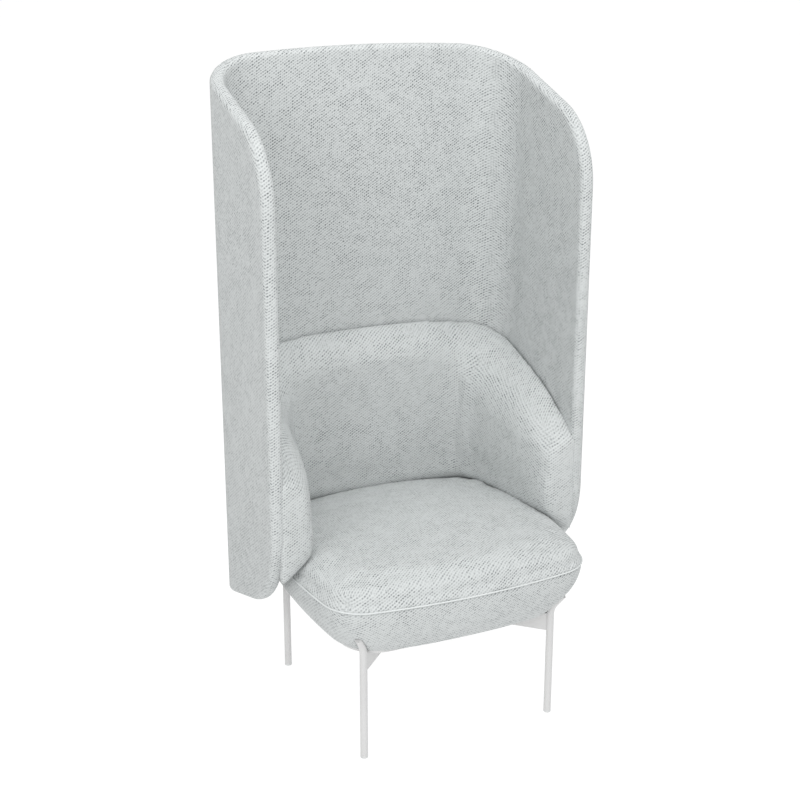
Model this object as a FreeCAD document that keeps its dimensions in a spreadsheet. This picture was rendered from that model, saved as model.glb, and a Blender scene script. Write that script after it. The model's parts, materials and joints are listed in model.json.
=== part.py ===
import FreeCAD, Part
import math
import os

import Sketcher
from FreeCAD import Placement, Rotation, Vector

# Acoustic high back lounge chair, in millimetres.
# The origin is on the floor under the middle of the chair, the front faces -Y and +Z is up.
# Four round legs, joined by a cross of rails, carry a plate with the upholstered seat.
# A bent acoustic screen stands on brackets round the seat and carries the tub cushions.

os.makedirs("parts", exist_ok=True)

# Driving dimensions
SIZES = {
    "leg_spacing": 440.0,
    "leg_diameter": 16.0,
    "leg_bend_height": 238.0,
    "leg_bend_radius": 45.0,
    "claw_tilt": 38.0,
    "claw_length": 26.0,
    "claw_clearance": 0.3,
    "glide_height": 5.0,
    "glide_rounding": 1.5,
    "rail_bottom": 199.0,
    "rail_depth": 40.0,
    "rail_thickness": 8.0,
    "plate_thickness": 5.0,
    "plate_inset": 18.0,
    "plate_back_inset": 6.0,
    "plate_corner": 80.0,
    "board_thickness": 12.0,
    "board_inset": 24.0,
    "board_corner": 50.0,
    "bolt_diameter": 6.0,
    "bolt_clearance": 0.4,
    "bolt_head_diameter": 12.0,
    "bolt_head_height": 3.5,
    "bolt_grip": 10.0,
    "bolt_circle": 150.0,
    "seat_side_clearance": 27.0,
    "seat_rear_clearance": 12.0,
    "seat_front_reach": 294.5,
    "seam_corner": 88.0,
    "seam_rise": 114.0,
    "side_bow": 1400.0,
    "side_taper": 49.0,
    "front_taper": 45.5,
    "rear_taper": 19.0,
    "corner_growth": 26.0,
    "piping_diameter": 5.0,
    "crown_rise": 68.0,
    "crown_radius": 3000.0,
    "shoulder_rounding": 34.0,
    "foam_inset": 22.0,
    "foam_corner": 50.0,
    "screen_width": 732.0,
    "screen_back": 297.0,
    "screen_front": 99.0,
    "screen_thickness": 30.0,
    "screen_corner": 128.0,
    "screen_top": 1409.0,
    "screen_arch_radius": 3800.0,
    "screen_top_slope": 19.3,
    "screen_top_rounding": 172.0,
    "screen_bottom": 198.0,
    "screen_bottom_slope": 17.0,
    "screen_bottom_rounding": 205.0,
    "core_thickness": 8.0,
    "core_inset": 14.0,
    "rim_rounding": 11.0,
    "cushion_clearance": 0.3,
    "back_crest_rise": 362.0,
    "back_side_drop": 8.0,
    "corner_crest_rise": 331.0,
    "arm_rear_crest_rise": 285.0,
    "arm_middle_crest_rise": 238.0,
    "arm_front_crest_rise": 156.0,
    "back_thickness": 62.0,
    "back_flat_inset": 171.0,
    "corner_side_thickness": 128.0,
    "corner_back_thickness": 85.0,
    "arm_rear_setback": 50.0,
    "arm_rear_thickness": 101.0,
    "arm_middle_thickness": 82.0,
    "arm_front_thickness": 62.0,
    "cushion_inner_lift": 6.0,
    "cushion_outer_lift": 16.0,
    "bracket_offset": 108.0,
    "bracket_width": 60.0,
    "bracket_thickness": 4.0,
    "bracket_reach": 110.0,
    "bracket_height": 95.0,
    "bracket_bolt_setback": 27.0,
    "screw_diameter": 5.0,
    "screw_head_diameter": 10.0,
    "screw_head_height": 2.5,
    "screw_lift": 50.0,
    "screw_spacing": 30.0,
    "screw_grip": 17.0,
    "spacer_length": 60.0,
    "spacer_height": 40.0,
    "spacer_place": 135.0,
    "spacer_drop": 60.0,
    "spacer_bite": 34.0,
}

doc = FreeCAD.newDocument("LoungeChair")
sheet = doc.addObject("Spreadsheet::Sheet", "Sizes")
for row, (alias, value) in enumerate(SIZES.items(), start=1):
    sheet.set(f"A{row}", alias)
    sheet.set(f"B{row}", str(value))
    sheet.setAlias(f"B{row}", alias)
doc.recompute()


def size(alias):
    """One driving dimension, read from the sheet."""
    return float(sheet.get(alias))


LEG_HALF = size("leg_spacing") / 2
LEG_RADIUS = size("leg_diameter") / 2
RAIL_TOP = size("rail_bottom") + size("rail_depth")
PLATE_TOP = RAIL_TOP + size("plate_thickness")
SEAM = PLATE_TOP + size("seam_rise")
SEAT_TOP = SEAM + size("crown_rise")
OUTER_X = size("screen_width") / 2
INNER_X = OUTER_X - size("screen_thickness")
INNER_BACK = size("screen_back") - size("screen_thickness")
INNER_CORNER = size("screen_corner") - size("screen_thickness")
SEAM_SIDE = INNER_X - size("seat_side_clearance")
SEAM_REAR = INNER_BACK - size("seat_rear_clearance")
SEAM_FRONT = size("seat_front_reach")
BRACKET_BOLT_Y = INNER_BACK - size("bracket_reach") + size("bracket_bolt_setback")
BOTTOM_SIDE = SEAM_SIDE - size("side_taper")
BOTTOM_FRONT = SEAM_FRONT - size("front_taper")
BOTTOM_REAR = SEAM_REAR - size("rear_taper")
PLATE_SIDE = BOTTOM_SIDE - size("plate_inset")
PLATE_BACK = BOTTOM_REAR - size("plate_back_inset")
INNER_BOTTOM = SEAT_TOP + size("cushion_inner_lift")
OUTER_BOTTOM = SEAM + size("cushion_outer_lift")
TRIM_MARGIN = 50.0
TOLERANCE = 0.05
ACROSS = 45.0
FLARE_STEPS = 4
nodes = {}


def keep(label, obj):
    """Names a finished sub-part and lists it for export."""
    obj.Label = label
    nodes[label] = obj
    return obj


def feature(label, shape, placement=None):
    """A sub-part whose shape is worked out here from the sheet."""
    obj = doc.addObject("Part::Feature", label)
    obj.Shape = shape
    obj.Placement = placement or Placement()
    return keep(label, obj)


def box(name, lengths, corner):
    """A box whose three lengths and lowest corner are expressions of the sheet."""
    obj = doc.addObject("Part::Box", name)
    for prop, text in zip(("Length", "Width", "Height"), lengths):
        obj.setExpression(prop, text)
    for axis, text in zip("xyz", corner):
        obj.setExpression(f"Placement.Base.{axis}", text)
    return obj


def cylinder(name, radius, height, base):
    """An upright cylinder whose radius, height and base point are expressions of the sheet."""
    obj = doc.addObject("Part::Cylinder", name)
    obj.setExpression("Radius", radius)
    obj.setExpression("Height", height)
    for axis, text in zip("xyz", base):
        obj.setExpression(f"Placement.Base.{axis}", text)
    return obj


def origin_plane(body, role):
    """The origin plane of a body with the given role."""
    return next(item for item in body.Origin.OriginFeatures if item.Role == role)


def sketch_in(body, name, role, height=None):
    """A sketch on one of the body's own origin planes, raised by an expression."""
    sketch = body.newObject("Sketcher::SketchObject", name)
    sketch.AttachmentSupport = [(origin_plane(body, role), "")]
    sketch.MapMode = "FlatFace"
    if height:
        sketch.setExpression("AttachmentOffset.Base.z", height)
    return sketch


def bind(sketch, constraint, text):
    """Adds a dimension to a sketch and ties it to an expression of the sheet."""
    index = sketch.addConstraint(constraint)
    name = f"dim_{index}"
    sketch.renameConstraint(index, name)
    sketch.setExpression(f"Constraints.{name}", text)


def circle_in(sketch, radius, radius_text, centre=None, centre_text=None):
    """A circle with a bound radius, on the origin or at a bound centre."""
    place = centre or (0.0, 0.0)
    circle = sketch.addGeometry(Part.Circle(Vector(place[0], place[1], 0), Vector(0, 0, 1), radius))
    if centre:
        bind(sketch, Sketcher.Constraint("DistanceX", -1, 1, circle, 3, place[0]), centre_text[0])
        bind(sketch, Sketcher.Constraint("DistanceY", -1, 1, circle, 3, place[1]), centre_text[1])
    else:
        sketch.addConstraint(Sketcher.Constraint("Coincident", circle, 3, -1, 1))
    bind(sketch, Sketcher.Constraint("Radius", circle, radius), radius_text)


def rounded_rectangle_in(sketch, half_width, half_depth, corner, texts):
    """A rounded rectangle centred on the origin, with its three sizes bound."""
    flat_x = half_width - corner
    flat_y = half_depth - corner
    lines = [
        ((-flat_x, -half_depth), (flat_x, -half_depth)),
        ((half_width, -flat_y), (half_width, flat_y)),
        ((flat_x, half_depth), (-flat_x, half_depth)),
        ((-half_width, flat_y), (-half_width, -flat_y)),
    ]
    centres = [(flat_x, -flat_y), (flat_x, flat_y), (-flat_x, flat_y), (-flat_x, -flat_y)]
    for start, end in lines:
        sketch.addGeometry(Part.LineSegment(Vector(*start, 0), Vector(*end, 0)))
    for turn, centre in enumerate(centres):
        circle = Part.Circle(Vector(*centre, 0), Vector(0, 0, 1), corner)
        first = math.radians(-90 + 90 * turn)
        sketch.addGeometry(Part.ArcOfCircle(circle, first, first + math.pi / 2))
    for side in range(4):
        arc = 4 + side
        sketch.addConstraint(Sketcher.Constraint("Tangent", side, 2, arc, 1))
        sketch.addConstraint(Sketcher.Constraint("Tangent", arc, 2, (side + 1) % 4, 1))
        if side:
            sketch.addConstraint(Sketcher.Constraint("Equal", 4, arc))
    sketch.addConstraint(Sketcher.Constraint("Horizontal", 0))
    sketch.addConstraint(Sketcher.Constraint("Symmetric", 4, 3, 6, 3, -1, 1))
    bind(sketch, Sketcher.Constraint("Radius", 4, corner), texts[2])
    bind(sketch, Sketcher.Constraint("DistanceX", -1, 1, 1, 1, half_width), texts[0])
    bind(sketch, Sketcher.Constraint("DistanceY", 0, 1, -1, 1, half_depth), texts[1])


def pad(body, sketch, name, length):
    """A pad of a sketch with a bound length."""
    result = body.newObject("PartDesign::Pad", name)
    result.Profile = sketch
    result.setExpression("Length", length)
    doc.recompute()
    return result


def pocket_through(body, sketch, name):
    """A pocket through the whole body, turned round when it cuts nothing."""
    before = body.Shape.Volume
    result = body.newObject("PartDesign::Pocket", name)
    result.Profile = sketch
    result.Type = "ThroughAll"
    doc.recompute()
    if not result.Shape.Volume < before:
        result.Reversed = True
        doc.recompute()
    return result


def corners():
    """The four corners in order, as a name and the signs of x and y."""
    return [
        ("front_left", -1, -1),
        ("front_right", 1, -1),
        ("rear_right", 1, 1),
        ("rear_left", -1, 1),
    ]


# Legs and glides
def corner_turn(sign_x, sign_y):
    """The turn about Z that points a body's +X outwards along its corner's diagonal."""
    return math.degrees(math.atan2(sign_y, sign_x))


def make_leg(name, sign_x, sign_y):
    """A round bar that rises from its glide and bends outwards into a claw."""
    body = doc.addObject("PartDesign::Body", f"leg_{name}")
    path = sketch_in(body, f"path_{name}", "XZ_Plane")
    low = size("glide_height")
    bend = size("leg_bend_height")
    radius = size("leg_bend_radius")
    tilt = math.radians(size("claw_tilt"))
    path.addGeometry(Part.LineSegment(Vector(0, low, 0), Vector(0, bend, 0)))
    circle = Part.Circle(Vector(radius, bend, 0), Vector(0, 0, 1), radius)
    path.addGeometry(Part.ArcOfCircle(circle, math.pi - tilt, math.pi))
    top_x = radius - radius * math.cos(tilt)
    top_z = bend + radius * math.sin(tilt)
    reach_x = top_x + size("claw_length") * math.sin(tilt)
    reach_z = top_z + size("claw_length") * math.cos(tilt)
    path.addGeometry(Part.LineSegment(Vector(top_x, top_z, 0), Vector(reach_x, reach_z, 0)))
    path.addConstraint(Sketcher.Constraint("PointOnObject", 0, 1, -2))
    path.addConstraint(Sketcher.Constraint("Vertical", 0))
    path.addConstraint(Sketcher.Constraint("Tangent", 0, 2, 1, 2))
    path.addConstraint(Sketcher.Constraint("Tangent", 1, 1, 2, 1))
    bind(path, Sketcher.Constraint("DistanceY", -1, 1, 0, 1, low), "Sizes.glide_height")
    bind(path, Sketcher.Constraint("DistanceY", -1, 1, 0, 2, bend), "Sizes.leg_bend_height")
    bind(path, Sketcher.Constraint("Radius", 1, radius), "Sizes.leg_bend_radius")
    bind(path, Sketcher.Constraint("Distance", 2, size("claw_length")), "Sizes.claw_length")
    angle = Sketcher.Constraint("Angle", 2, math.pi / 2 - tilt)
    bind(path, angle, "(90 - Sizes.claw_tilt) * 1 deg")
    section = sketch_in(body, f"section_{name}", "XY_Plane", "Sizes.glide_height")
    circle_in(section, LEG_RADIUS, "Sizes.leg_diameter / 2")
    doc.recompute()
    bar = body.newObject("PartDesign::AdditivePipe", f"bar_{name}")
    bar.Profile = section
    bar.Spine = path
    body.Tip = bar
    turn = Rotation(Vector(0, 0, 1), corner_turn(sign_x, sign_y))
    body.Placement = Placement(Vector(), turn)
    for axis, sign in (("x", sign_x), ("y", sign_y)):
        body.setExpression(f"Placement.Base.{axis}", f"{sign} * Sizes.leg_spacing / 2")
    keep(f"leg_{name}", body)


def make_glide(name, sign_x, sign_y):
    """A plastic glide, flat underneath and rounded at its lower edge."""
    base = (f"{sign_x} * Sizes.leg_spacing / 2", f"{sign_y} * Sizes.leg_spacing / 2", "0")
    blank = cylinder(f"glide_blank_{name}", "Sizes.leg_diameter / 2", "Sizes.glide_height", base)
    doc.recompute()
    rounded = doc.addObject("Part::Fillet", f"glide_{name}")
    rounded.Base = blank
    lower = [
        index + 1
        for index, edge in enumerate(blank.Shape.Edges)
        if edge.BoundBox.ZMax < size("glide_height") / 2
    ]
    rounding = size("glide_rounding")
    rounded.Edges = [(index, rounding, rounding) for index in lower]
    keep(f"glide_{name}", rounded)


for corner_name, corner_x, corner_y in corners():
    make_leg(corner_name, corner_x, corner_y)
    make_glide(corner_name, corner_x, corner_y)


# Cross of rails under the plate
def bar_blank(name, start, length):
    """A rail blank that starts at an expression along the diagonal."""
    lengths = (length, "Sizes.rail_thickness", "Sizes.rail_depth")
    return box(name, lengths, (start, "-Sizes.rail_thickness / 2", "Sizes.rail_bottom"))


def leg_seat(name, sign):
    """The round seat that a leg leaves in a rail's end."""
    base = (f"{sign} * Sizes.leg_spacing / 2 * sqrt(2)", "0", "0")
    return cylinder(name, "Sizes.leg_diameter / 2", "Sizes.leg_bend_height + 100", base)


def turned(label, base, tool, angle):
    """The base less the tool, turned about Z to lie along its diagonal."""
    cut = doc.addObject("Part::Cut", label)
    cut.Base = base
    cut.Tool = tool
    doc.recompute()
    cut.Placement = Placement(Vector(), Rotation(Vector(0, 0, 1), angle))
    return keep(label, cut)


HALF_DIAGONAL = "Sizes.leg_spacing / 2 * sqrt(2)"
both_seats = doc.addObject("Part::MultiFuse", "both_leg_seats")
both_seats.Shapes = [leg_seat("leg_seat_left", -1), leg_seat("leg_seat_right", 1)]
full_rail = bar_blank("full_rail_blank", f"-{HALF_DIAGONAL}", f"2 * {HALF_DIAGONAL}")
turned("rail_diagonal_full", full_rail, both_seats, ACROSS)
for label, angle in (("rail_half_front", -ACROSS), ("rail_half_rear", 180 - ACROSS)):
    half = bar_blank(
        f"{label}_blank",
        "Sizes.rail_thickness / 2",
        f"{HALF_DIAGONAL} - Sizes.rail_thickness / 2",
    )
    turned(label, half, leg_seat(f"{label}_seat", 1), angle)


# Seat plate and board
def bolt_places():
    """The four bolts, in front of, behind and beside the cross."""
    return [(1, 0), (0, 1), (-1, 0), (0, -1)]


def bolt_holes(body, name, height, radius, radius_text):
    """Through holes for the four seat bolts and the two bracket bolts."""
    holes = sketch_in(body, name, "XY_Plane", height)
    reach = size("bolt_circle")
    for sign in (-1, 1):
        place = (sign * size("bracket_offset"), BRACKET_BOLT_Y)
        place_texts = (f"{sign} * Sizes.bracket_offset", BRACKET_BOLT_TEXT)
        circle_in(holes, radius, radius_text, place, place_texts)
    for step_x, step_y in bolt_places():
        if step_x:
            hole = holes.addGeometry(Part.Circle(Vector(step_x * reach, 0, 0), Vector(0, 0, 1), radius))
            holes.addConstraint(Sketcher.Constraint("PointOnObject", hole, 3, -1))
            ends = ((-1, 1), (hole, 3)) if step_x > 0 else ((hole, 3), (-1, 1))
            bind(holes, Sketcher.Constraint("DistanceX", *ends[0], *ends[1], reach), "Sizes.bolt_circle")
        else:
            hole = holes.addGeometry(Part.Circle(Vector(0, step_y * reach, 0), Vector(0, 0, 1), radius))
            holes.addConstraint(Sketcher.Constraint("PointOnObject", hole, 3, -2))
            ends = ((-1, 1), (hole, 3)) if step_y > 0 else ((hole, 3), (-1, 1))
            bind(holes, Sketcher.Constraint("DistanceY", *ends[0], *ends[1], reach), "Sizes.bolt_circle")
        bind(holes, Sketcher.Constraint("Radius", hole, radius), radius_text)
    doc.recompute()
    pocket_through(body, holes, f"{name}_cut")


SEAM_SIDE_TEXT = "Sizes.screen_width / 2 - Sizes.screen_thickness - Sizes.seat_side_clearance"
SEAM_REAR_TEXT = "Sizes.screen_back - Sizes.screen_thickness - Sizes.seat_rear_clearance"
PLATE_SIDE_TEXT = f"{SEAM_SIDE_TEXT} - Sizes.side_taper - Sizes.plate_inset"
PLATE_BACK_TEXT = f"{SEAM_REAR_TEXT} - Sizes.rear_taper - Sizes.plate_back_inset"
INNER_BACK_TEXT = "Sizes.screen_back - Sizes.screen_thickness"
BRACKET_BOLT_TEXT = f"{INNER_BACK_TEXT} - Sizes.bracket_reach + Sizes.bracket_bolt_setback"
PLATE_BOTTOM_TEXT = "Sizes.rail_bottom + Sizes.rail_depth"
PLATE_TOP_TEXT = f"{PLATE_BOTTOM_TEXT} + Sizes.plate_thickness"

plate = doc.addObject("PartDesign::Body", "seat_plate")
plate_outline = sketch_in(plate, "plate_outline", "XY_Plane", PLATE_BOTTOM_TEXT)
rounded_rectangle_in(
    plate_outline,
    PLATE_SIDE,
    PLATE_BACK,
    size("plate_corner"),
    (PLATE_SIDE_TEXT, PLATE_BACK_TEXT, "Sizes.plate_corner"),
)
pad(plate, plate_outline, "plate_pad", "Sizes.plate_thickness")
leg_notches = sketch_in(plate, "leg_notches", "XY_Plane", PLATE_BOTTOM_TEXT)
for corner_name, corner_x, corner_y in corners():
    centre_texts = (f"{corner_x} * Sizes.leg_spacing / 2", f"{corner_y} * Sizes.leg_spacing / 2")
    circle_in(
        leg_notches,
        LEG_RADIUS + size("claw_clearance"),
        "Sizes.leg_diameter / 2 + Sizes.claw_clearance",
        (corner_x * LEG_HALF, corner_y * LEG_HALF),
        centre_texts,
    )
doc.recompute()
pocket_through(plate, leg_notches, "leg_notches_cut")
bolt_holes(
    plate,
    "plate_holes",
    PLATE_BOTTOM_TEXT,
    (size("bolt_diameter") + size("bolt_clearance")) / 2,
    "(Sizes.bolt_diameter + Sizes.bolt_clearance) / 2",
)
keep("seat_plate", plate)

board = doc.addObject("PartDesign::Body", "seat_board")
board_outline = sketch_in(board, "board_outline", "XY_Plane", PLATE_TOP_TEXT)
rounded_rectangle_in(
    board_outline,
    PLATE_SIDE - size("board_inset"),
    PLATE_BACK - size("board_inset"),
    size("board_corner"),
    (
        f"{PLATE_SIDE_TEXT} - Sizes.board_inset",
        f"{PLATE_BACK_TEXT} - Sizes.board_inset",
        "Sizes.board_corner",
    ),
)
pad(board, board_outline, "board_pad", "Sizes.board_thickness")
bolt_holes(board, "board_holes", PLATE_TOP_TEXT, size("bolt_diameter") / 2, "Sizes.bolt_diameter / 2")
keep("seat_board", board)


def bolt(x, y, bottom, grip):
    """A button-headed bolt that points up from the given underside."""
    head = Part.makeCylinder(
        size("bolt_head_diameter") / 2,
        size("bolt_head_height"),
        Vector(x, y, bottom - size("bolt_head_height")),
    )
    rim = [edge for edge in head.Edges if edge.BoundBox.ZMax < bottom - size("bolt_head_height") / 2]
    head = head.makeFillet(size("bolt_head_height") / 3, rim)
    shank = Part.makeCylinder(size("bolt_diameter") / 2, grip, Vector(x, y, bottom))
    return head.fuse(shank).removeSplitter()


seat_bolts = [
    bolt(
        step_x * size("bolt_circle"),
        step_y * size("bolt_circle"),
        RAIL_TOP,
        size("plate_thickness") + size("bolt_grip"),
    )
    for step_x, step_y in bolt_places()
]
feature("seat_bolts", Part.makeCompound(seat_bolts))


# Seat upholstery
def arc_through(first, middle, last):
    """An arc edge through three points."""
    return Part.Arc(first, middle, last).toShape()


def bowed_outline(height, half_width, front, rear, corner):
    """A closed outline with gently bowed sides and tangent round corners.

    The four sides are arcs of the side bow's radius and the four corners are arcs tangent to them.
    """
    bow = size("side_bow")
    middle_y = (rear - front) / 2
    side_centres = [
        Vector(0, -front + bow, 0),
        Vector(half_width - bow, middle_y, 0),
        Vector(0, rear - bow, 0),
        Vector(bow - half_width, middle_y, 0),
    ]
    outward = [Vector(0, -1, 0), Vector(1, 0, 0), Vector(0, 1, 0), Vector(-1, 0, 0)]
    joints = []
    for side in range(4):
        first = side_centres[side]
        second = side_centres[(side + 1) % 4]
        between = second - first
        middle = first + between * 0.5
        half = between.Length / 2
        away = (outward[side] + outward[(side + 1) % 4]).normalize()
        along = Vector(between.x, between.y, 0).normalize()
        square = away - along * away.dot(along)
        square.normalize()
        centre = middle + square * math.sqrt((bow - corner) ** 2 - half**2)
        start = centre + (centre - first).normalize() * corner
        end = centre + (centre - second).normalize() * corner
        inner = ((start - centre) + (end - centre)).normalize()
        joints.append((start, centre + inner * corner, end))
    lift = Vector(0, 0, height)
    edges = []
    for side in range(4):
        start = joints[side - 1][2]
        end = joints[side][0]
        peak = side_centres[side] + outward[side] * bow
        edges.append(arc_through(start + lift, peak + lift, end + lift))
        edges.append(arc_through(*(point + lift for point in joints[side])))
    return Part.Wire(edges)


def seam_outline():
    """The outline of the seam, where the two covers and the piping meet."""
    return bowed_outline(
        SEAM,
        SEAM_SIDE,
        SEAM_FRONT,
        SEAM_REAR,
        size("seam_corner"),
    )


def seat_loft(levels):
    """A solid through bowed outlines, each given as a height and an inset from the seam.

    The corner radius comes with each outline.
    """
    wires = []
    for height, side, front, rear, corner in levels:
        wires.append(
            bowed_outline(
                height,
                SEAM_SIDE - side,
                SEAM_FRONT - front,
                SEAM_REAR - rear,
                corner,
            )
        )
    return Part.makeLoft(wires, True, False)


def lower_levels():
    """The lower cover's outlines: it flares from the plate to the seam in a round belly."""
    side = size("side_taper")
    front = size("front_taper")
    rear = size("rear_taper")
    levels = []
    for step in range(FLARE_STEPS + 1):
        share = step / FLARE_STEPS
        inward = (1 - share) ** 2
        corner = size("seam_corner") + size("corner_growth") * inward
        height = PLATE_TOP + size("seam_rise") * share
        levels.append((height, side * inward, front * inward, rear * inward, corner))
    return levels


def top_form():
    """The top cover: an upright edge above the seam, a round shoulder and a low domed crown."""
    outline = seam_outline()
    dome = size("crown_radius")
    middle = (SEAM_REAR - SEAM_FRONT) / 2
    ball = Part.makeSphere(dome, Vector(0, middle, SEAT_TOP - dome))
    blank = prism(outline, size("crown_rise")).common(ball)
    rim = [edge for edge in blank.Edges if edge.BoundBox.ZMin > SEAM + TOLERANCE]
    rim = [edge for edge in rim if edge.BoundBox.ZMax < SEAT_TOP - TOLERANCE]
    return blank.makeFillet(size("shoulder_rounding"), rim)


def along_claw(radius, sign_x, sign_y):
    """A round solid of the given radius along a leg's bend and claw, for what must clear it."""
    tilt = size("claw_tilt")
    bend = size("leg_bend_radius")
    start = size("leg_bend_height")
    straight = Part.makeCylinder(radius, TRIM_MARGIN, Vector(0, 0, start - TRIM_MARGIN))
    section = Part.Face(Part.Wire(Part.makeCircle(radius, Vector(0, 0, start))))
    elbow = section.revolve(Vector(bend, 0, start), Vector(0, 1, 0), tilt)
    end_x = bend - bend * math.cos(math.radians(tilt))
    end_z = start + bend * math.sin(math.radians(tilt))
    direction = Vector(math.sin(math.radians(tilt)), 0, math.cos(math.radians(tilt)))
    length = size("claw_length") + radius
    claw = Part.makeCylinder(radius, length, Vector(end_x, 0, end_z), direction)
    whole = straight.fuse([elbow, claw])
    whole.rotate(Vector(), Vector(0, 0, 1), corner_turn(sign_x, sign_y))
    whole.translate(Vector(sign_x * LEG_HALF, sign_y * LEG_HALF, 0))
    return whole


def prism(wire, height):
    """A closed flat wire raised into a solid."""
    return Part.Face(wire).extrude(Vector(0, 0, height))


def spacer_block(sign):
    """The block between one side of the seat and the inner face of the screen."""
    inner = SEAM_SIDE - size("spacer_bite")
    length = INNER_X - inner
    block = Part.makeBox(
        length,
        size("spacer_length"),
        size("spacer_height"),
        Vector(inner, size("spacer_place") - size("spacer_length") / 2, SEAM - size("spacer_drop")),
    )
    return block if sign > 0 else block.mirror(Vector(), Vector(1, 0, 0))


foam_outline = bowed_outline(
    PLATE_TOP,
    BOTTOM_SIDE - size("foam_inset"),
    BOTTOM_FRONT - size("foam_inset"),
    BOTTOM_REAR - size("foam_inset"),
    size("foam_corner"),
)
pocket_solid = prism(foam_outline, SEAM - PLATE_TOP)
claws = [
    along_claw(LEG_RADIUS + size("claw_clearance"), corner_x, corner_y)
    for _, corner_x, corner_y in corners()
]
spacers = [spacer_block(-1), spacer_block(1)]
lower_cover = seat_loft(lower_levels()).cut([pocket_solid, *claws, *spacers])
feature("seat_lower_cover", lower_cover)
foam_core = prism(foam_outline, SEAM - PLATE_TOP)
foam_core.translate(Vector(0, 0, size("board_thickness")))
foam_core = foam_core.common(pocket_solid).cut([*claws, *spacers])
feature("seat_foam_core", foam_core)
top_cover = top_form()
feature("seat_top_cover", top_cover)
feature("spacer_left", spacers[0])
feature("spacer_right", spacers[1])

piping_path = seam_outline()
first_edge = piping_path.Edges[0]
start_point = first_edge.valueAt(first_edge.FirstParameter)
start_way = first_edge.tangentAt(first_edge.FirstParameter)
cord_up = Vector(0, 0, size("piping_diameter") / 2)
cord_out = start_way.cross(cord_up)
if cord_out.dot(start_point) < 0:
    cord_out = -cord_out
cord_arc = arc_through(start_point + cord_up, start_point + cord_out, start_point - cord_up)
cord_flat = Part.makeLine(start_point - cord_up, start_point + cord_up)
half_round = Part.Wire([cord_arc, cord_flat])
piping = piping_path.makePipeShell([half_round], True, True)
feature("seat_piping", piping)


# Acoustic screen
def screen_curve(offset):
    """The points of the bent plan line at a distance inwards from the outer face."""
    side = OUTER_X - offset
    back = size("screen_back") - offset
    corner = size("screen_corner") - offset
    front = -size("screen_front") - TRIM_MARGIN
    slant = corner * (1 - math.sqrt(0.5))
    return [
        Vector(-side, front, 0),
        Vector(-side, back - corner, 0),
        Vector(-side + slant, back - slant, 0),
        Vector(-side + corner, back, 0),
        Vector(side - corner, back, 0),
        Vector(side - slant, back - slant, 0),
        Vector(side, back - corner, 0),
        Vector(side, front, 0),
    ]


def screen_edges(offset):
    """The three straights and two round corners of the bent plan line."""
    points = screen_curve(offset)
    return [
        Part.makeLine(points[0], points[1]),
        arc_through(points[1], points[2], points[3]),
        Part.makeLine(points[3], points[4]),
        arc_through(points[4], points[5], points[6]),
        Part.makeLine(points[6], points[7]),
    ]


def bent_wall(near, far):
    """A bent wall between two distances from the outer face, taller than the screen."""
    outer = screen_curve(near)
    inner = screen_curve(far)
    edges = screen_edges(near)
    edges.append(Part.makeLine(outer[-1], inner[-1]))
    edges.extend(reversed(screen_edges(far)))
    edges.append(Part.makeLine(inner[0], outer[0]))
    return prism(Part.Wire(Part.__sortEdges__(edges)), size("screen_top") + TRIM_MARGIN)


def side_outline(x, inset):
    """The screen's outline seen from the side, inset all round, at one place across the chair.

    The top falls to the front and the bottom rises to it, each with a round front corner.
    The top is lower by the arch's drop at that place.
    """
    arch = size("screen_arch_radius")
    drop = arch - math.sqrt(arch**2 - x**2)
    back = size("screen_back")
    front = -size("screen_front") + inset
    rear = back + TRIM_MARGIN
    slope = math.radians(size("screen_top_slope"))
    rise = math.radians(size("screen_bottom_slope"))
    top_back = size("screen_top") - drop - inset / math.cos(slope)
    bottom_back = size("screen_bottom") + inset / math.cos(rise)

    def rounding(line_back, angle, radius, side):
        """The tangent arc between the upright front and a sloping line, from front to back."""
        centre_y = front + radius
        line_z = line_back - side * math.tan(angle) * (back - centre_y)
        centre_z = line_z - side * radius / math.cos(angle)
        half_turn = (math.pi / 2 - angle) / 2
        arc = [(1.0, 0.0), (math.cos(half_turn), math.sin(half_turn)), (math.sin(angle), math.cos(angle))]
        return [
            Vector(x, centre_y - radius * along, centre_z + side * radius * up)
            for along, up in arc
        ]

    top = rounding(top_back, slope, size("screen_top_rounding") - inset, 1)
    bottom = rounding(bottom_back, rise, size("screen_bottom_rounding") - inset, -1)
    top_rear = Vector(x, rear, top_back + math.tan(slope) * (rear - back))
    bottom_rear = Vector(x, rear, bottom_back - math.tan(rise) * (rear - back))
    edges = [
        Part.makeLine(bottom[0], top[0]),
        arc_through(*top),
        Part.makeLine(top[2], top_rear),
        Part.makeLine(top_rear, bottom_rear),
        Part.makeLine(bottom_rear, bottom[2]),
        arc_through(*reversed(bottom)),
    ]
    return Part.Wire(edges)


def screen_layer(near, far, inset):
    """One layer of the screen, trimmed to the side outline and to the arch of its top."""
    reach = OUTER_X + TRIM_MARGIN
    outlines = [side_outline(share * reach, inset) for share in (-1.0, -0.5, 0.0, 0.5, 1.0)]
    return bent_wall(near, far).common(Part.makeLoft(outlines, True, False))


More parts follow.
